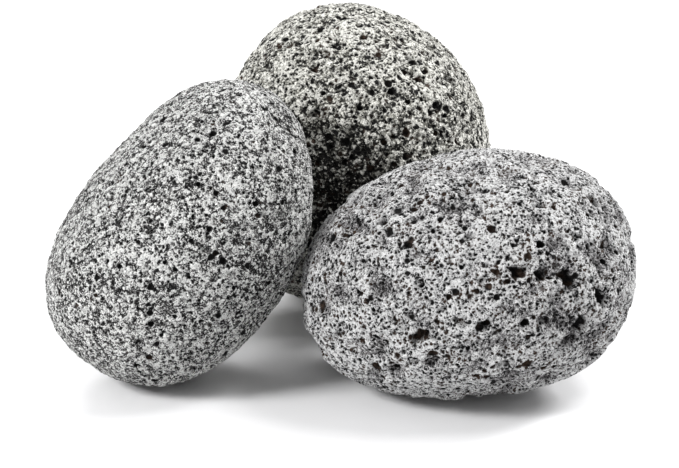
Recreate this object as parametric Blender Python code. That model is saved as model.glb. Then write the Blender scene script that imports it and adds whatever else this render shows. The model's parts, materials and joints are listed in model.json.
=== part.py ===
"""Three basalt massage stones, leaning together as they lie on a bench.

Each stone is one natural pebble of vesicular basalt, tumbled smooth until it fits the palm. Its form
is an egg-shaped superellipsoid with a few broad swells and hollows, and a small flat worn on its
underside, where it rests. The right stone lies on its broad side. The rear stone stands beside it,
and the left stone leans into the corner between them, so each stone touches the other two.

Units are metres, +Z is up, and the origin is at the bottom centre of the set's bounding box.
"""

import math

import bmesh
import bpy
from mathutils import Euler, Vector
from mathutils.bvhtree import BVHTree

MM = 0.001

# How the set lies.
REST_FLAT_DEPTH = 0.5 * MM  # how much of each underside is worn off, which leaves a flat about 12 mm wide
CONTACT_GAP = 0.4 * MM  # clearance where two stones touch
REAR_BEARING = 113.5  # degrees from +X, seen from above, from the right stone's middle to the rear stone's
LEFT_BEARINGS = (135.0, 225.0)  # degrees: the left stone meets both others somewhere in this span

# The form that the stones share.
GRID = 16  # quads along each side of the cube that is rounded into a pebble
SWELL_TIGHTNESS = 9.0  # how fast a swell fades: at this value it is about 70 degrees across

# Where a swell or a hollow may sit: bearing from +X and angle above level, in degrees.
SPOTS = {
    "right_shoulder": (10, 29),
    "crown": (90, 73),
    "left_shoulder": (170, 29),
    "left_hip": (190, -29),
    "heel": (270, -73),
    "right_hip": (350, -29),
}

# Length, width and thickness run along the pebble's own X, Y and Z, before it is turned. Taper is the
# share by which its girth grows towards +X. Fullness is the superellipsoid's exponent: 2 is an ellipsoid,
# and more is squarer. Roll, pitch and yaw turn it about X, Y and Z, in that order, in degrees.
STONES = {
    "right_stone": {
        "length": 78.5 * MM,
        "width": 66.5 * MM,
        "thickness": 56.5 * MM,
        "taper": 0.03,
        "fullness": 2.1,
        "turn": (3, -9, 0),
        "swells": {
            "right_shoulder": 1.75 * MM,
            "crown": 0.75 * MM,
            "left_shoulder": 0.5 * MM,
            "left_hip": 2.0 * MM,
            "heel": -0.25 * MM,
            "right_hip": 2.0 * MM,
        },
        "colour": (0.25, 0.245, 0.25),
        "roughness": 0.85,
    },
    "rear_stone": {
        "length": 80.5 * MM,
        "width": 75.0 * MM,
        "thickness": 77.0 * MM,
        "taper": 0.03,
        "fullness": 2.15,
        "turn": (-14, -74, 4),
        "swells": {
            "right_shoulder": -1.25 * MM,
            "crown": 1.25 * MM,
            "left_shoulder": -4.0 * MM,
            "left_hip": 1.0 * MM,
            "heel": -0.5 * MM,
            "right_hip": 0.75 * MM,
        },
        "colour": (0.23, 0.23, 0.215),
        "roughness": 0.85,
    },
    "left_stone": {
        "length": 80.0 * MM,
        "width": 56.5 * MM,
        "thickness": 51.5 * MM,
        "taper": -0.11,
        "fullness": 2.3,
        "turn": (-1, -51, 15),
        "swells": {
            "right_shoulder": -3.75 * MM,
            "crown": 2.0 * MM,
            "left_shoulder": 0.5 * MM,
            "left_hip": 1.0 * MM,
            "heel": -0.75 * MM,
            "right_hip": 0.5 * MM,
        },
        "colour": (0.27, 0.27, 0.265),
        "roughness": 0.8,
    },
}

HALVINGS = 16  # steps of each search for a contact


def clear_scene():
    for obj in list(bpy.data.objects):
        bpy.data.objects.remove(obj)


def direction(bearing, height):
    """The unit vector at that bearing from +X and that angle above level, both in degrees."""
    around, above = math.radians(bearing), math.radians(height)
    level = math.cos(above)
    return Vector((level * math.cos(around), level * math.sin(around), math.sin(above)))


def egg_point(ray, stone):
    """Where a ray from the middle of the untwisted pebble leaves its surface."""
    half = [stone[side] / 2 for side in ("length", "width", "thickness")]
    power = stone["fullness"]
    reach = sum(abs(part / size) ** power for part, size in zip(ray, half)) ** (-1 / power)
    point = ray * reach
    girth = 1 + stone["taper"] * point.x / half[0]
    return Vector((point.x, point.y * girth, point.z * girth))


def swell_height(ray, swells):
    """How far the stone's swells and hollows lift its surface along a ray."""
    return sum(
        height * math.exp(SWELL_TIGHTNESS * (ray.dot(direction(*SPOTS[spot])) - 1))
        for spot, height in swells.items()
    )


def rounded_cube(mesh):
    """A cube of GRID by GRID quads a side. Its points are spread by equal angles, so the quads stay even."""
    bmesh.ops.create_cube(mesh, size=2)
    bmesh.ops.subdivide_edges(mesh, edges=mesh.edges[:], cuts=GRID - 1, use_grid_fill=True)
    for vertex in mesh.verts:
        spread = [math.tan(part * math.pi / 4) for part in vertex.co]
        vertex.co = Vector(spread).normalized()


def wear_flat(mesh):
    """Lowers the pebble onto the bench by the depth of its worn flat, and cuts it off there."""
    lowest = min(vertex.co.z for vertex in mesh.verts)
    middle_height = -lowest - REST_FLAT_DEPTH
    everything = mesh.verts[:] + mesh.edges[:] + mesh.faces[:]
    cut = bmesh.ops.bisect_plane(
        mesh,
        geom=everything,
        plane_co=(0, 0, -middle_height),
        plane_no=(0, 0, 1),
        clear_inner=True,
    )
    rim = [item for item in cut["geom_cut"] if isinstance(item, bmesh.types.BMEdge)]
    bmesh.ops.contextual_create(mesh, geom=rim)
    bmesh.ops.recalc_face_normals(mesh, faces=mesh.faces[:])
    return middle_height


def shape_pebble(name, stone, collection):
    """The stone's object, with its middle at the object's origin and the worn flat at bench height."""
    turn = Euler([math.radians(angle) for angle in stone["turn"]]).to_matrix()
    mesh = bmesh.new()
    rounded_cube(mesh)
    for vertex in mesh.verts:
        point = turn @ egg_point(vertex.co, stone)
        vertex.co = point + point.normalized() * swell_height(point.normalized(), stone["swells"])
    middle_height = wear_flat(mesh)
    data = bpy.data.meshes.new(name)
    mesh.to_mesh(data)
    mesh.free()
    data.shade_smooth()
    data.set_sharp_from_angle(angle=math.radians(10))
    obj = bpy.data.objects.new(name, data)
    obj.location.z = middle_height
    collection.objects.link(obj)
    return obj


def basalt(name, stone):
    """Tumbled basalt: bare, matt and not metallic, a little different in colour on each stone."""
    material = bpy.data.materials.new(name)
    material.use_nodes = True
    shader = material.node_tree.nodes["Principled BSDF"]
    shader.inputs["Base Color"].default_value = (*stone["colour"], 1)
    shader.inputs["Roughness"].default_value = stone["roughness"]
    shader.inputs["Metallic"].default_value = 0
    material.diffuse_color = (*stone["colour"], 1)
    return material


def surface_of(obj):
    """The object's points and a tree for finding the nearest place on its surface, about its origin."""
    mesh = bmesh.new()
    mesh.from_mesh(obj.data)
    tree = BVHTree.FromBMesh(mesh)
    points = [vertex.co.copy() for vertex in mesh.verts]
    mesh.free()
    return points, tree


def least_height(points, tree, shift):
    """The least distance of the shifted points outside a surface. It is negative where they are inside."""
    found = math.inf
    for point in points:
        place, normal, _, distance = tree.find_nearest(point + shift)
        outside = (point + shift - place).dot(normal) > 0
        found = min(found, distance if outside else -distance)
    return found


def gap_between(one, other, surfaces):
    """The gap between two stones where they stand, or how deep they overlap as a negative number."""
    shift = one.location - other.location
    one_points, one_tree = surfaces[one.name]
    other_points, other_tree = surfaces[other.name]
    return min(
        least_height(one_points, other_tree, shift),
        least_height(other_points, one_tree, -shift),
    )


def search(low, high, is_low):
    """Halves a span until the change from is_low to not is_low is found, and returns its high side."""
    for _ in range(HALVINGS):
        middle = (low + high) / 2
        if is_low(middle):
            low = middle
        else:
            high = middle
    return high


def stand_beside(mover, anchor, bearing, surfaces):
    """Puts the mover beside the anchor on that bearing, with the contact gap between them."""
    way = direction(bearing, 0)

    def too_close(distance):
        mover.location.xy = (anchor.location + way * distance).xy
        return gap_between(mover, anchor, surfaces) < CONTACT_GAP

    farthest = sum(STONES[stone.name]["length"] for stone in (mover, anchor))
    distance = search(0, farthest, too_close)
    mover.location.xy = (anchor.location + way * distance).xy


def lean_together(right, rear, left):
    """Stands the rear stone by the right one, then rolls the left one round until it meets both."""
    surfaces = {obj.name: surface_of(obj) for obj in (right, rear, left)}
    stand_beside(rear, right, REAR_BEARING, surfaces)

    def too_close(bearing):
        stand_beside(left, right, bearing, surfaces)
        return gap_between(left, rear, surfaces) < CONTACT_GAP

    stand_beside(left, right, search(*LEFT_BEARINGS, too_close), surfaces)


def centre_on_origin(stones):
    """Moves the set so that the origin is at the bottom centre of its bounding box."""
    points = [obj.location + vertex.co for obj in stones for vertex in obj.data.vertices]
    for axis in (0, 1):
        values = [point[axis] for point in points]
        middle = (min(values) + max(values)) / 2
        for obj in stones:
            obj.location[axis] -= middle


def main():
    clear_scene()
    collection = bpy.data.collections.new("basalt_massage_stones")
    bpy.context.scene.collection.children.link(collection)
    made = {}
    for name, stone in STONES.items():
        made[name] = shape_pebble(name, stone, collection)
        made[name].data.materials.append(basalt(name + "_basalt", stone))
    lean_together(made["right_stone"], made["rear_stone"], made["left_stone"])
    centre_on_origin(list(made.values()))


main()
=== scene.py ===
import itertools
import json
import math
import time

import bpy
import numpy as np
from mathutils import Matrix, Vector

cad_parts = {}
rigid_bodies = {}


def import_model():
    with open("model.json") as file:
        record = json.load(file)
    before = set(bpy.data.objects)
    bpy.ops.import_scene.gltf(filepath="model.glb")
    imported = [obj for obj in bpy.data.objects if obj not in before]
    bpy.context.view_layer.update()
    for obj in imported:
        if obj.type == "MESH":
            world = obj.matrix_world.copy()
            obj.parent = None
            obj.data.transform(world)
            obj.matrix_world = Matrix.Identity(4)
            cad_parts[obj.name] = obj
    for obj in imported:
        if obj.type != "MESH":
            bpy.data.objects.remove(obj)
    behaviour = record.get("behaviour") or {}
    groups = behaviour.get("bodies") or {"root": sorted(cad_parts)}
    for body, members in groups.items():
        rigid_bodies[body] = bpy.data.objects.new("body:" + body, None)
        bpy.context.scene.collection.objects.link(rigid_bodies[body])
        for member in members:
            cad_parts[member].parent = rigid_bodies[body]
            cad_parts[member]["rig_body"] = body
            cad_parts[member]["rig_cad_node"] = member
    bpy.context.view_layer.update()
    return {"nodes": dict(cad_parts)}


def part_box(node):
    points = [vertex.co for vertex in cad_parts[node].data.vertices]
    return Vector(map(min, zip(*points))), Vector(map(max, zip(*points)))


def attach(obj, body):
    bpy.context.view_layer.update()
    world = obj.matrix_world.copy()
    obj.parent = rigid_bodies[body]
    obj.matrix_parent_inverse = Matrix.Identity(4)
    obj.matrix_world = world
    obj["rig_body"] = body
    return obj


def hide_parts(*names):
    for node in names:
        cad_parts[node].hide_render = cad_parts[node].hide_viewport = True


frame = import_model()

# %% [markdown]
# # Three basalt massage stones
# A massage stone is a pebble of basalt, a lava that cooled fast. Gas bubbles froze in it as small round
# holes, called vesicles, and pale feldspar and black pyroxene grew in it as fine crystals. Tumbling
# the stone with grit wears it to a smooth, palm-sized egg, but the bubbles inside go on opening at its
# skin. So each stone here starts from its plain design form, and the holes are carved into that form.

MM = 0.001
STONES = ("right_stone", "rear_stone", "left_stone")

# %% [markdown]
# ## The viewpoint
# The stones lie on a bench, seen from a little above with a long lens from about 45 cm. A long lens
# keeps the three pebbles near their true sizes beside each other. The camera aims level with the front
# stone's middle, a little under half way up the set.

# %% Camera
LENS = 100.0
CAMERA_DISTANCE = 447 * MM
CAMERA_TILT = math.radians(17)
AIM_RIGHT = 0.5 * MM
AIM_HEIGHT = 38.25 * MM


def middle_of(node):
    """The middle of a design form's box."""
    low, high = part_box(node)
    return (low + high) / 2


aim = Vector((AIM_RIGHT, middle_of("right_stone").y, AIM_HEIGHT))
look = Vector((0, math.cos(CAMERA_TILT), -math.sin(CAMERA_TILT)))
bpy.ops.object.select_all(action="DESELECT")
bpy.ops.object.camera_add(
    location=aim - look * CAMERA_DISTANCE, rotation=(math.pi / 2 - CAMERA_TILT, 0, 0)
)
camera = bpy.context.object
camera.name = "camera"
camera.data.lens = LENS
camera.data.clip_start = 10 * MM
bpy.context.scene.camera = camera
print("camera at, mm:", [round(side / MM) for side in camera.location])

# %% [markdown]
# ## Two helpers for materials
# Colours are written as sRGB hex values, as a paint program shows them, and turned to the linear light
# that Blender works in. A node graph is built one node at a time: each call adds a node, sets its
# settings, and links or fills its inputs.

# %% Colour and node helpers


def linear(hex_colour):
    """An sRGB hex colour as linear RGBA."""
    parts = [int(hex_colour[i : i + 2], 16) / 255 for i in (1, 3, 5)]
    return (*[c / 12.92 if c <= 0.04045 else ((c + 0.055) / 1.055) ** 2.4 for c in parts], 1)


def add(tree, kind, inputs=None, **settings):
    """Adds a node. An input's value is a number, a colour or another node's output."""
    node = tree.nodes.new(kind)
    for name, value in settings.items():
        setattr(node, name, value)
    for name, value in (inputs or {}).items():
        if isinstance(value, bpy.types.NodeSocket):
            tree.links.new(value, node.inputs[name])
        else:
            node.inputs[name].default_value = value
    return node


def empty_material(name):
    """A new material with no nodes in it."""
    material = bpy.data.materials.new(name)
    material.use_nodes = True
    material.node_tree.nodes.clear()
    return material


# %% [markdown]
# ## Bench and light
# A white bench runs on behind the stones without an edge. Four small softboxes stand round them at 80 cm:
# one at the left, one at the right and one behind, all about 30 degrees up, and one high on the right.
# The white room round them fills the shadows, so only the places that the stones hide from it go dark:
# under them and between them. Small lamps from several sides also pick out the rim of every hole.

# %% Bench
# White lacquer on board: a pale, even surface with a soft sheen and no grain.
BENCH_SIDE = 12.0
bpy.ops.object.select_all(action="DESELECT")
bpy.ops.mesh.primitive_plane_add(size=BENCH_SIDE)
bench = bpy.context.object
bench.name = "bench"
bench_paint = empty_material("white_lacquered_board")
tree = bench_paint.node_tree
shader = add(
    tree, "ShaderNodeBsdfPrincipled", {"Base Color": linear("#F0F0F1"), "Roughness": 0.35}
)
add(tree, "ShaderNodeOutputMaterial", {"Surface": shader.outputs["BSDF"]})
bench.data.materials.append(bench_paint)
print("bench, m:", [round(side, 1) for side in bench.dimensions])

# %% Room and lamps
# The room lights the stones softly, and looks brighter than that itself, as a lit white wall does.
ROOM_LIGHT = 0.55
ROOM_LOOK = 1.1
room = bpy.data.worlds.new("white_room")
room.use_nodes = True
tree = room.node_tree
tree.nodes.clear()
fill = add(tree, "ShaderNodeBackground", {"Color": linear("#FFFFFF"), "Strength": ROOM_LIGHT})
backdrop = add(tree, "ShaderNodeBackground", {"Color": linear("#FFFFFF"), "Strength": ROOM_LOOK})
seen = add(tree, "ShaderNodeLightPath")
room_mix = add(
    tree,
    "ShaderNodeMixShader",
    {0: seen.outputs["Is Camera Ray"], 1: fill.outputs[0], 2: backdrop.outputs[0]},
)
add(tree, "ShaderNodeOutputWorld", {"Surface": room_mix.outputs[0]})
bpy.context.scene.world = room
bpy.context.scene.view_settings.view_transform = "Standard"


def toward(bearing, height):
    """The direction at a bearing from +X and an angle above level, both in degrees."""
    around, above = math.radians(bearing), math.radians(height)
    level = math.cos(above)
    return np.array((level * math.cos(around), level * math.sin(around), math.sin(above)))


def softbox(name, place, size, power):
    """A square area lamp that faces the middle of the set."""
    bpy.ops.object.light_add(type="AREA", location=place)
    lamp = bpy.context.object
    lamp.name = name
    lamp.data.shape = "SQUARE"
    lamp.data.size = size
    lamp.data.energy = power
    lamp.rotation_euler = (aim - Vector(place)).to_track_quat("-Z", "Y").to_euler()
    return lamp


LAMP_REACH = 0.8
LAMP_SIZE = 0.22
# Each lamp: its bearing from +X and its angle above level, in degrees, and its power in watts.
for name, bearing, height, power in (
    ("right_softbox", 28, 32, 5.7),
    ("high_softbox", 0, 58, 2.6),
    ("back_softbox", 120, 32, 2.0),
    ("left_softbox", 210, 32, 7.2),
):
    lamp = softbox(name, aim + Vector(toward(bearing, height)) * LAMP_REACH, LAMP_SIZE, power)
    print(lamp.name, "at, mm:", [round(side / MM) for side in lamp.location], "watts:", power)

# %% [markdown]
# ## Random numbers that stay put
# Every bubble needs a place and a size, and they have to come out the same each time. So space is cut
# into small cells, and a cell's whole-number address is scrambled into random shares from 0 to 1.
# The same scrambled numbers, blended from cell to cell, give a soft noise for uneven edges.

# %% Cell randoms and soft noise
CORNERS = np.array(list(itertools.product((0, 1), repeat=3)))


def cell_shares(cells, seed, count):
    """Random shares from 0 to 1 for each cell address, one column for each that is asked for."""
    # These large odd numbers mean nothing: they only scatter neighbouring addresses far apart.
    key = (cells.astype(np.int64) * (73856093, 19349663, 83492791)).sum(axis=1)
    key = (key + seed * 7919).astype(np.uint32)
    shares = []
    for _ in range(count):
        key = key + np.uint32(0x9E3779B9)
        mixed = (key ^ (key >> np.uint32(16))) * np.uint32(0x7FEB352D)
        mixed = (mixed ^ (mixed >> np.uint32(15))) * np.uint32(0x846CA68B)
        mixed = mixed ^ (mixed >> np.uint32(16))
        shares.append(mixed / 2**32)
    return np.stack(shares, axis=1)


def soft_noise(points, size, seed, channels=1):
    """Smooth noise from -1 to 1 whose lumps are about the given size."""
    cell = np.floor(points / size)
    inside = points / size - cell
    inside = inside * inside * (3 - 2 * inside)
    total = np.zeros((len(points), channels))
    for corner in CORNERS:
        weight = np.where(corner, inside, 1 - inside).prod(axis=1)
        total += weight[:, None] * cell_shares(cell + corner, seed, channels)
    return total * 2 - 1


# %% [markdown]
# ## Bubbles
# A vesicle is a sphere of gas, and the worn skin cuts it wherever it happens to run. A cut near the
# sphere's middle leaves a deep round hole, and a cut near its edge leaves a shallow dish. So each point of
# the skin that lies inside a bubble is pushed inwards until it reaches the bubble's far wall. Tumbling
# also wears a shallow slope round each mouth, which catches the light.

# %% Bubble depth
# A hole reaches its full depth this far inside its rim.
RIM = 0.10 * MM
# The rest are shares of a bubble's radius: the deepest hole, how far from the bubble's middle the worn
# slope starts and where it is deepest, and that greatest depth.
DEPTH_LIMIT = 1.4
WORN_REACH = 1.8
WORN_MOUTH = 0.8
WORN_DEPTH = 0.4


def bubble_depth(points, normals, spacing, radii, share, seed):
    """How far each point sinks, into bubbles and into their worn rims, with at most one bubble a cell."""
    # No radius is over half the spacing, so only the eight nearest cells can reach a point.
    cell = np.floor(points / spacing - 0.5)
    depth = np.zeros(len(points))
    worn = np.zeros(len(points))
    for corner in CORNERS:
        home = cell + corner
        luck = cell_shares(home, seed, 5)
        away = points - (home + luck[:, :3]) * spacing
        # The square makes small bubbles commoner than large ones.
        radius = radii[0] + (radii[1] - radii[0]) * luck[:, 3] ** 2
        gap = np.sqrt((away**2).sum(axis=1))
        near = (gap < WORN_REACH * radius) & (luck[:, 4] < share)
        away, radius, gap = away[near], radius[near], gap[near]
        slope = np.clip((WORN_REACH - gap / radius) / (WORN_REACH - WORN_MOUTH), 0, 1)
        worn[near] = np.maximum(worn[near], slope**2 * WORN_DEPTH * radius)
        above = (away * normals[near]).sum(axis=1)
        sink = above + np.sqrt(np.maximum(above**2 + radius**2 - gap**2, 0))
        sink = np.clip(sink, 0, DEPTH_LIMIT * radius) * np.clip((radius - gap) / RIM, 0, 1)
        depth[near] = np.maximum(depth[near], sink)
    return depth, worn


# %% [markdown]
# ## Hollows listed one by one
# The few largest holes give each stone its own face, so they are listed one by one. Each is given as a
# bearing round the stone from +X and an angle above level, both in degrees, then its length, width and
# depth in millimetres, and the slope of its long side in degrees.

# %% Hollow depth
HOLLOWS = {
    "right_stone": (
        (-142, 34, 3.6, 2.4, 2.2, 20),
        (-134, 30, 4.5, 2.0, 0.9, -20),
        (-19, 35, 3.6, 2.0, 1.8, -60),
        (-52, 43, 2.4, 1.6, 1.0, 0),
        (-93, 33, 2.8, 1.6, 1.2, 30),
        (-73, 17.5, 4.2, 3.0, 2.8, 0),
        (-63, 16, 3.4, 2.6, 2.2, 0),
        (-57, 18, 2.6, 1.6, 1.0, 30),
        (-53, 12, 6.0, 3.2, 3.0, -55),
        (-40, 3, 4.6, 3.0, 2.8, -50),
        (-48, -6, 4.6, 3.0, 2.8, 70),
        (-64, -2, 3.0, 2.6, 1.2, 0),
        (-87, -3, 2.8, 2.6, 2.4, 0),
        (-97, -1, 3.2, 1.8, 1.3, -20),
        (-103, 3, 2.2, 1.8, 1.3, 0),
        (-112, -9, 5.4, 2.8, 2.2, 35),
        (-118, -6, 4.0, 2.2, 0.9, 20),
        (-115, -21, 2.4, 2.2, 1.0, 0),
        (-113, 12, 2.0, 1.8, 1.2, 0),
        (-79, -21, 4.8, 1.6, 1.2, 25),
        (-44, 26, 2.8, 1.4, 1.0, 60),
        (-88, 15, 2.4, 1.8, 1.1, 0),
        (-99, 54, 3.0, 2.0, 0.8, 0),
        (-110, 65, 5.0, 2.6, 0.8, 15),
    ),
    "rear_stone": (
        (-104, 30, 3.2, 2.2, 1.3, 30),
        (-94, 40, 3.0, 2.2, 1.3, 0),
        (-104, 55, 3.2, 2.4, 1.2, 0),
        (-24, 53, 4.0, 2.4, 1.5, -30),
        (-32, 37, 3.6, 2.4, 1.4, 60),
        (-50, 51, 2.8, 2.0, 1.2, 0),
    ),
    "left_stone": (
        (-58, 63, 1.6, 1.2, 0.8, 0),
        (-99, 18, 1.8, 1.2, 0.8, 0),
        (-44, 20, 1.8, 1.4, 0.9, 0),
        (-34, 17, 1.8, 1.3, 0.9, 0),
        (-72, 8, 1.6, 1.2, 0.8, 0),
    ),
}


# Soft noise of this size makes a hollow's edge ragged and its floor craggy, by these shares.
CRAG_SIZE = 0.9 * MM
RAGGED_EDGE = 0.45
CRAGGY_FLOOR = 0.35
# A hollow is mostly a bowl inside its edge, and for the rest a slope that runs on past it.
BOWL_SHARE = 0.7
SLOPE_SHARE = 0.3
SLOPE_REACH = 1.5
FARTHEST_REACH = 2.2
print("hollows placed by hand:", {node: len(rows) for node, rows in HOLLOWS.items()})


def hollow_depth(points, normals, middle, hollows, seed):
    """How far each point sinks into the hollows that are listed one by one."""
    rays = points - middle
    rays = rays / np.linalg.norm(rays, axis=1)[:, None]
    ragged, craggy = soft_noise(points, CRAG_SIZE, seed, 2).T
    depth = np.zeros(len(points))
    for bearing, height, length, width, deep, slope in hollows:
        mouth = (rays @ toward(bearing, height)).argmax()
        out = normals[mouth]
        level = np.cross((0, 0, 1), out)
        level /= np.linalg.norm(level)
        rise = np.cross(out, level)
        turn = math.radians(slope)
        along = level * math.cos(turn) + rise * math.sin(turn)
        across = np.cross(out, along)
        offset = points - points[mouth]
        reach = np.hypot(offset @ along / (length / 2), offset @ across / (width / 2)) / MM
        near = (reach < FARTHEST_REACH) & (rays @ rays[mouth] > 0.5)
        edge = reach[near] * (1 + RAGGED_EDGE * ragged[near])
        bowl = BOWL_SHARE * np.sqrt(np.clip(1 - edge**2, 0, 1))
        bowl += SLOPE_SHARE * np.clip(SLOPE_REACH - edge, 0, 1)
        bowl *= 1 + CRAGGY_FLOOR * craggy[near]
        depth[near] = np.maximum(depth[near], bowl * deep * MM)
    return depth


# %% [markdown]
# ## Patches of tone and painted shade
# Each stone has a few soft patches, each given as a bearing and an angle above level, its spread in
# degrees, and how much paler (+) or darker (-) it is than the rest. The dark patches where the stones face
# each other are painted shade: on the rear stone's front, behind the other two, on the right stone's side
# toward the left stone, and on the left stone's lower right side toward the right stone. The other patches
# make a stone a little paler or darker in places.

# %% Patches of tone and painted shade
TONE_AND_SHADE_PATCHES = {
    "right_stone": (
        # Painted shade on the side that faces the left stone.
        (-175, 17, 16, -0.25),
        (-142, -6, 15, 0.08),
        (-58, -5, 22, -0.07),
    ),
    "rear_stone": (
        # Painted shade on the front, behind the other two stones.
        (-95, -4, 25, -0.75),
        (-124, 49, 18, 0.07),
        (-128, 48, 4, 0.30),
        (-104, 30, 5, 0.15),
    ),
    "left_stone": (
        # Painted shade on the lower right side, toward the right stone.
        (-48, -5, 20, -0.13),
        (-32, 25, 16, -0.08),
        (-80, 12, 16, 0.08),
        (-98, -25, 22, 0.09),
        (-59, 51, 14, 0.05),
    ),
}
print("patches:", {node: len(rows) for node, rows in TONE_AND_SHADE_PATCHES.items()})


def shade_and_tone_patch(points, middle, patches):
    """The change of tone at each point, with painted shade where a dark patch faces another stone."""
    rays = points - middle
    rays = rays / np.linalg.norm(rays, axis=1)[:, None]
    tone = np.zeros(len(points), np.float32)
    for bearing, height, spread, change in patches:
        angle = np.degrees(np.arccos(np.clip(rays @ toward(bearing, height), -1, 1)))
        tone += change * np.exp(-((angle / spread) ** 2)).astype(np.float32)
    return tone


# %% [markdown]
# ## From design form to stone
# The design form is a plain closed solid of flat triangles. Its copy is welded, made of quads again and
# subdivided, so that it is smooth all round, and then rebuilt as an even skin of small squares that can
# hold the holes. Once carved, the skin is thinned again: flat places need few triangles, and the rims of
# the holes keep many.

# %% Blank
# The smallest holes are about 0.5 mm across, so the skin's squares are under half of that.
VOXEL = 0.21 * MM
TRIANGLES = 190000
WELD = 0.001 * MM
EASE_PASSES = 4


def stone_blank(node):
    """A smooth, evenly meshed copy of a stone's design form."""
    bpy.ops.object.select_all(action="DESELECT")
    blank = frame["nodes"][node].copy()
    blank.data = blank.data.copy()
    blank.parent = None
    blank.name = node.replace("_stone", "_pebble")
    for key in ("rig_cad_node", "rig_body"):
        del blank[key]
    bpy.context.scene.collection.objects.link(blank)
    blank.select_set(True)
    bpy.context.view_layer.objects.active = blank
    bpy.ops.object.mode_set(mode="EDIT")
    bpy.ops.mesh.select_all(action="SELECT")
    bpy.ops.mesh.remove_doubles(threshold=WELD)
    bpy.ops.mesh.tris_convert_to_quads()
    bpy.ops.object.mode_set(mode="OBJECT")
    smooth = blank.modifiers.new("smooth", "SUBSURF")
    smooth.levels = smooth.render_levels = 2
    bpy.ops.object.modifier_apply(modifier=smooth.name)
    skin = blank.modifiers.new("skin", "REMESH")
    skin.mode = "VOXEL"
    skin.voxel_size = VOXEL
    bpy.ops.object.modifier_apply(modifier=skin.name)
    ease = blank.modifiers.new("ease", "SMOOTH")
    ease.iterations = EASE_PASSES
    bpy.ops.object.modifier_apply(modifier=ease.name)
    return blank


# %% Carving


def arrays_of(mesh):
    """The places and normals of a mesh's vertices."""
    points = np.empty(len(mesh.vertices) * 3, np.float32)
    normals = np.empty_like(points)
    mesh.vertices.foreach_get("co", points)
    mesh.vertex_normals.foreach_get("vector", normals)
    return points.reshape(-1, 3).astype(float), normals.reshape(-1, 3).astype(float)


# Each family of bubbles: spacing, least and greatest radius in mm, and the share of cells that hold one.
BUBBLES = {
    "right_stone": ((0.95, 0.28, 0.46, 1.0), (1.7, 0.42, 0.78, 0.75), (3.4, 0.8, 1.4, 0.25)),
    "rear_stone": ((1.25, 0.34, 0.62, 1.0), (2.4, 0.6, 1.15, 0.6)),
    "left_stone": ((1.0, 0.26, 0.5, 0.9), (2.2, 0.45, 0.95, 0.5)),
}
print("families of bubbles:", {node: len(rows) for node, rows in BUBBLES.items()})
# Soft unevenness of the worn skin: size and height of the lumps in mm.
LUMPS = {
    "right_stone": ((9.0, 0.50), (4.4, 1.15), (2.1, 0.60), (1.0, 0.25)),
    "rear_stone": ((9.0, 0.40), (3.4, 0.70), (1.6, 0.42), (0.9, 0.20)),
    "left_stone": ((10.0, 0.30), (3.6, 0.32), (1.6, 0.22), (0.9, 0.14)),
}
# Tumbling wears the skin down by MEAN_WEAR before the lumps are added, and no lump stands higher than
# MOST_RISE above the design form.
MEAN_WEAR = 0.12 * MM
MOST_RISE = 0.1 * MM
# Bubbles aren't perfect spheres: soft noise of this size bends them by up to this much.
BEND_SIZE = 0.7 * MM
BEND = 0.2 * MM
# The skin nearer to the bench than this is carved less and less, down to nothing.
GRIP_HEIGHT = 0.6 * MM
# A hollow is open and light gets in, so only this share of its depth counts when pores are darkened.
SHADED_SHARE_OF_HOLLOW = 0.23


def carve(blank, node, seed):
    """Sinks the skin into the hollows and then the bubbles, and keeps what the material needs."""
    points, normals = arrays_of(blank.data)
    rise = np.full(len(points), -MEAN_WEAR)
    for number, (size, height) in enumerate(LUMPS[node]):
        rise += soft_noise(points, size * MM, seed + 20 + number)[:, 0] * height * MM
    hollow = hollow_depth(points, normals, np.array(middle_of(node)), HOLLOWS[node], seed + 1)
    skin = points + normals * (np.minimum(rise, MOST_RISE) - hollow)[:, None]
    bent = skin + soft_noise(points, BEND_SIZE, seed, 3) * BEND
    depth = np.zeros(len(points))
    worn = np.zeros(len(points))
    for number, (spacing, least, most, share) in enumerate(BUBBLES[node]):
        holes, slopes = bubble_depth(
            bent, normals, spacing * MM, (least * MM, most * MM), share, seed + 10 + number
        )
        depth = np.maximum(depth, holes)
        worn = np.maximum(worn, slopes)
    # The skin at the bench stays as it is, so that the stone still stands on its worn flat.
    grip = np.clip(points[:, 2] / GRIP_HEIGHT, 0, 1)[:, None]
    points = points + (skin - points - normals * np.maximum(depth, worn)[:, None]) * grip
    points[:, 2] = np.maximum(points[:, 2], 0)
    mesh = blank.data
    mesh.vertices.foreach_set("co", points.astype(np.float32).ravel())
    # Painted shade: the deeper a hole, the darker the material paints its floor, and hollows count only in
    # part.
    shaded = (depth + SHADED_SHARE_OF_HOLLOW * hollow) * grip[:, 0] / MM
    pore = mesh.attributes.new("pore_shade_depth", "FLOAT", "POINT")
    pore.data.foreach_set("value", shaded.astype(np.float32))
    # Painted shade: the lower the carved skin stands, the darker the material paints it.
    sunken_shade = mesh.attributes.new("sunken_shade", "FLOAT", "POINT")
    sunken_shade.data.foreach_set("value", ((np.minimum(rise, MOST_RISE) - worn) / MM).astype(np.float32))
    # Soft patches of tone, and painted shade where a stone faces another.
    patch = mesh.attributes.new("shade_and_tone_patch", "FLOAT", "POINT")
    patch.data.foreach_set("value", shade_and_tone_patch(points, np.array(middle_of(node)), TONE_AND_SHADE_PATCHES[node]))
    mesh.update()
    return depth


def thin(blank):
    """Thins the mesh to the triangle budget."""
    blank.data.calc_loop_triangles()
    count = len(blank.data.loop_triangles)
    if count > TRIANGLES:
        bpy.context.view_layer.objects.active = blank
        fewer = blank.modifiers.new("thin", "DECIMATE")
        fewer.ratio = TRIANGLES / count
        bpy.ops.object.modifier_apply(modifier=fewer.name)
    bpy.ops.object.shade_smooth()
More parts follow.
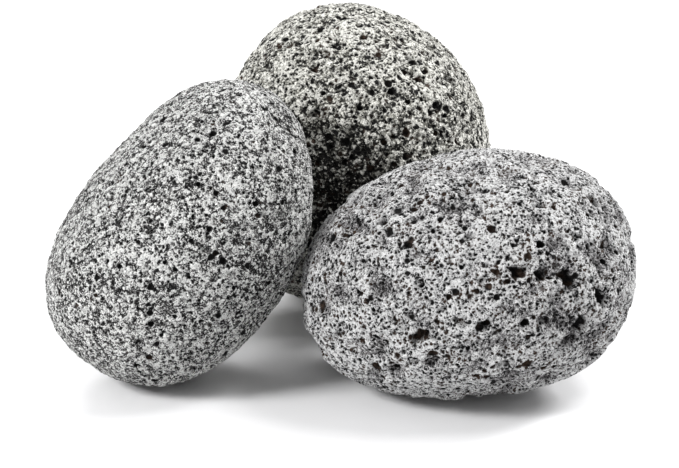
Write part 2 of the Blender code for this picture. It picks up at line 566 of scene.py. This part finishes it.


# %% [markdown]
# ## Basalt
# Tumbled basalt is bare and matt. Up close it is a mosaic: pale feldspar, black pyroxene and a grey ground
# between them, all well under a millimetre across, with pores down to the size of a grain of salt. The
# floors of the open bubbles are painted near black as shade, and some hold a brown film of iron oxide.
# Sunken places of the skin are painted a little darker as shade too. Every pattern is cut from a solid
# block of texture, as the rock itself is, so it shows no seam and no stretching.

# %% Basalt recipes
# Lengths are in mm. shades run from the darkest mineral to the palest. The tone that picks among them is
# base_tone plus layers, and each layer's share says how much it counts: speckle is a fine noise, grain a
# mosaic of small blocks, each of one tone, cloud a noise of a few mm, and the height of the carved skin has
# a share too, so that sunken places are darker: painted shade in the dips and round the mouths of the
# holes. crystals and pores are rows of a spacing, and the least and greatest radius as a share of that
# spacing. film is how common the brown film in the pores is, 0 to 1.
RECIPES = {
    "right_stone": {
        "shades": ("#222120", "#7C7A7B", "#A7A5A6", "#ECECEC"),
        "speckle": 0.3,
        "speckle_share": 1.4,
        "grain": 0.6,
        "grain_share": 0.25,
        "cloud_share": 1.0,
        "crystals": ((0.8, 0.1, 0.45),),
        "crystal_share": 0.35,
        "sunken_shade_share": 0.30,
        "base_tone": -0.42,
        "pores": ((0.98, 0.32, 0.66), (0.6, 0.3, 0.58)),
        "film": 0.5,
    },
    "rear_stone": {
        "shades": ("#121110", "#605F59", "#98978E", "#EBEAE3"),
        "speckle": 0.6,
        "speckle_share": 1.9,
        "grain": 1.0,
        "grain_share": 0.6,
        "cloud_share": 1.0,
        "crystals": ((1.7, 0.25, 0.55), (0.95, 0.2, 0.5)),
        "crystal_share": 0.75,
        "sunken_shade_share": 0.30,
        "base_tone": -1.03,
        "pores": ((1.5, 0.22, 0.62), (0.8, 0.22, 0.52)),
        "film": 0.4,
    },
    "left_stone": {
        "shades": ("#0D0D0D", "#5C5B5A", "#979695", "#FFFFFD"),
        "speckle": 0.36,
        "speckle_share": 2.2,
        "grain": 0.85,
        "grain_share": 0.8,
        "cloud_share": 0.8,
        "crystals": ((1.15, 0.15, 0.52), (0.7, 0.15, 0.46)),
        "crystal_share": 1.0,
        "sunken_shade_share": 0.30,
        "base_tone": -1.30,
        "pores": ((1.4, 0.2, 0.52), (0.65, 0.15, 0.48)),
        "film": 0.3,
    },
}


# %% Round spots in the rock
def spots(tree, place, rows, slope):
    """A mask of round spots of changing size, such as crystals or pores, one row for each spacing."""
    mask = None
    for spacing, least, most in rows:
        cells = add(tree, "ShaderNodeTexVoronoi", {"Vector": place, "Scale": 1 / spacing})
        draw = add(tree, "ShaderNodeSeparateColor", {"Color": cells.outputs["Color"]})
        radius = add(
            tree,
            "ShaderNodeMath",
            {0: draw.outputs["Green"], 1: most - least, 2: least},
            operation="MULTIPLY_ADD",
        )
        inside = add(
            tree,
            "ShaderNodeMath",
            {0: radius.outputs[0], 1: cells.outputs["Distance"]},
            operation="SUBTRACT",
        )
        row = add(
            tree,
            "ShaderNodeMapRange",
            {"Value": inside.outputs[0], "From Min": 0.0, "From Max": slope},
            interpolation_type="SMOOTHSTEP",
        ).outputs["Result"]
        if mask is not None:
            row = add(tree, "ShaderNodeMath", {0: mask, 1: row}, operation="MAXIMUM").outputs[0]
        mask = row
    return mask


# %% Tone and colour of the rock
CRYSTAL_EDGE = 0.12
CLOUD_SIZE = 4.0
# Where each of the four shades stands on the scale of tone.
TONE_STOPS = (0.18, 0.4, 0.6, 0.8)


def rock_tone(tree, place, bent, recipe):
    """How pale the rock is at each place: its crystals, speckle, grains and cloud, its patches, and painted
    shade in its sunken places and where it faces another stone.
    """
    crystals = spots(tree, bent, recipe["crystals"], CRYSTAL_EDGE)
    speckle = add(
        tree, "ShaderNodeTexNoise", {"Vector": place, "Scale": 1 / recipe["speckle"], "Detail": 1.5}
    )
    mosaic = add(tree, "ShaderNodeTexVoronoi", {"Vector": bent, "Scale": 1 / recipe["grain"]})
    grains = add(tree, "ShaderNodeSeparateColor", {"Color": mosaic.outputs["Color"]})
    cloud = add(tree, "ShaderNodeTexNoise", {"Vector": place, "Scale": 1 / CLOUD_SIZE, "Detail": 5.0})
    # Painted shade: dark patches where the stones face each other, and darker sunken places.
    patch = add(tree, "ShaderNodeAttribute", attribute_name="shade_and_tone_patch")
    sunken_shade = add(tree, "ShaderNodeAttribute", attribute_name="sunken_shade")
    tone = recipe["base_tone"]
    for layer, share in (
        (crystals, recipe["crystal_share"]),
        (speckle.outputs["Fac"], recipe["speckle_share"]),
        (grains.outputs["Red"], recipe["grain_share"]),
        (cloud.outputs["Fac"], recipe["cloud_share"]),
        (patch.outputs["Fac"], 1.0),
        (sunken_shade.outputs["Fac"], recipe["sunken_shade_share"]),
    ):
        tone = add(
            tree, "ShaderNodeMath", {0: layer, 1: share, 2: tone}, operation="MULTIPLY_ADD"
        ).outputs[0]
    return tone


def mineral_colour(tree, tone, shades):
    """The mineral's colour for each tone, from the darkest shade to the palest."""
    ramp = add(tree, "ShaderNodeValToRGB", {"Fac": tone})
    stops = ramp.color_ramp.elements
    for number, (spot, shade) in enumerate(zip(TONE_STOPS, shades)):
        stop = stops[number] if number < 2 else stops.new(spot)
        stop.position = spot
        stop.color = linear(shade)
    return ramp.outputs["Color"]


# %% Painted shade on the floors of the pores
# Painted shade: near black stands in for the shade down in the pores.
PORE_SHADE = "#121111"
IRON_FILM = "#43342A"
FILM_SOFTNESS = 0.1
# A pore's sloping rim keeps the colour of the rock, and only its floor is painted dark as shade. So a drawn
# pore darkens between the first two shares of its slope, and a carved hole between the next two depths in
# mm.
DRAWN_FLOOR = (0.35, 0.75)
CARVED_FLOOR = (0.1, 0.45)


def pore_shade_and_film_colour(tree, place, film_share):
    """The colour of the pores' floors: near black as painted shade, with a brown film of iron oxide in some
    regions.
    """
    rust = add(tree, "ShaderNodeTexNoise", {"Vector": place, "Scale": 1 / CLOUD_SIZE, "Detail": 2.0})
    edge = 0.75 - film_share / 2
    film = add(
        tree,
        "ShaderNodeMapRange",
        {"Value": rust.outputs["Fac"], "From Min": edge, "From Max": edge + FILM_SOFTNESS},
    )
    shade_and_film = add(
        tree,
        "ShaderNodeMix",
        {0: film.outputs["Result"], 6: linear(PORE_SHADE), 7: linear(IRON_FILM)},
        data_type="RGBA",
    )
    return shade_and_film.outputs[2]


def pore_shade_mask(tree, pores):
    """Where the skin is the floor of a drawn pore or of a carved hole, which is painted as shade."""
    carved = add(tree, "ShaderNodeAttribute", attribute_name="pore_shade_depth").outputs["Fac"]
    masks = []
    for value, (start, full) in ((pores, DRAWN_FLOOR), (carved, CARVED_FLOOR)):
        mask = add(tree, "ShaderNodeMapRange", {"Value": value, "From Min": start, "From Max": full})
        masks.append(mask.outputs["Result"])
    return add(tree, "ShaderNodeMath", {0: masks[0], 1: masks[1]}, operation="MAXIMUM").outputs[0]


# %% Basalt material
PORE_EDGE = 0.32
SWAY_SIZE = 0.6
# The crystals and the pores read places this far apart, in mm, so they don't share one pattern.
ASIDE = (37.0, 11.0, 23.0)
PORE_RELIEF = -1.3
RELIEF_HEIGHT = 1.0 * MM


def basalt(node):
    """The material of one stone: its minerals, its pores and their fine relief."""
    recipe = RECIPES[node]
    material = empty_material("tumbled_basalt_" + node.split("_")[0])
    tree = material.node_tree
    where = add(tree, "ShaderNodeTexCoord").outputs["Object"]
    place = add(
        tree, "ShaderNodeVectorMath", {0: where, 1: (1 / MM,) * 3}, operation="MULTIPLY"
    ).outputs["Vector"]
    # Crystals and pores aren't neat circles, so soft noise bends them by a fifth of a millimetre.
    sway = add(tree, "ShaderNodeTexNoise", {"Vector": place, "Scale": 1 / SWAY_SIZE, "Detail": 2.0})
    bent = add(
        tree, "ShaderNodeVectorMath", {0: sway.outputs["Color"], 1: place}, operation="ADD"
    ).outputs["Vector"]
    aside = add(tree, "ShaderNodeVectorMath", {0: bent, 1: ASIDE}, operation="ADD")
    pores = spots(tree, aside.outputs["Vector"], recipe["pores"], PORE_EDGE)
    tone = rock_tone(tree, place, bent, recipe)
    # Painted shade darkens the floors of the pores and holes, some with a brown film of iron oxide.
    colour = add(
        tree,
        "ShaderNodeMix",
        {
            0: pore_shade_mask(tree, pores),
            6: mineral_colour(tree, tone, recipe["shades"]),
            7: pore_shade_and_film_colour(tree, place, recipe["film"]),
        },
        data_type="RGBA",
    )
    # Relief: pale crystals stand proud, pores sink.
    relief = add(
        tree, "ShaderNodeMath", {0: pores, 1: PORE_RELIEF, 2: tone}, operation="MULTIPLY_ADD"
    )
    bump = add(
        tree,
        "ShaderNodeBump",
        {"Height": relief.outputs[0], "Strength": 1.0, "Distance": RELIEF_HEIGHT},
    )
    # Feldspar's index of refraction is about 1.55, but a tumbled, open skin swallows most of its gloss.
    shader = add(
        tree,
        "ShaderNodeBsdfPrincipled",
        {
            "Base Color": colour.outputs[2],
            "Normal": bump.outputs["Normal"],
            "Roughness": 0.8,
            "IOR": 1.55,
            "Specular IOR Level": 0.2,
        },
    )
    add(tree, "ShaderNodeOutputMaterial", {"Surface": shader.outputs["BSDF"]})
    return material


# %% [markdown]
# ## Making the stones
# Each stone goes through the same steps: a blank, its holes, fewer triangles, and its own basalt. A seed of
# its own gives each one different holes. The finished pebble takes the place of its plain design form and
# moves with that form's body, so a stone can be picked up from the others.

# %% Making the three stones
SEED_STEP = 100
OPEN_DEPTH = 0.05 * MM
for number, node in enumerate(STONES):
    started = time.time()
    pebble = stone_blank(node)
    depth = carve(pebble, node, SEED_STEP * (number + 1))
    skin_count = len(pebble.data.vertices)
    thin(pebble)
    pebble.data.materials.clear()
    pebble.data.materials.append(basalt(node))
    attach(pebble, node)
    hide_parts(node)
    pebble.data.calc_loop_triangles()
    print(
        pebble.name,
        "skin points", skin_count,
        "triangles", len(pebble.data.loop_triangles),
        "open share %.2f" % float((depth > OPEN_DEPTH).mean()),
        "seconds %.1f" % (time.time() - started),
    )
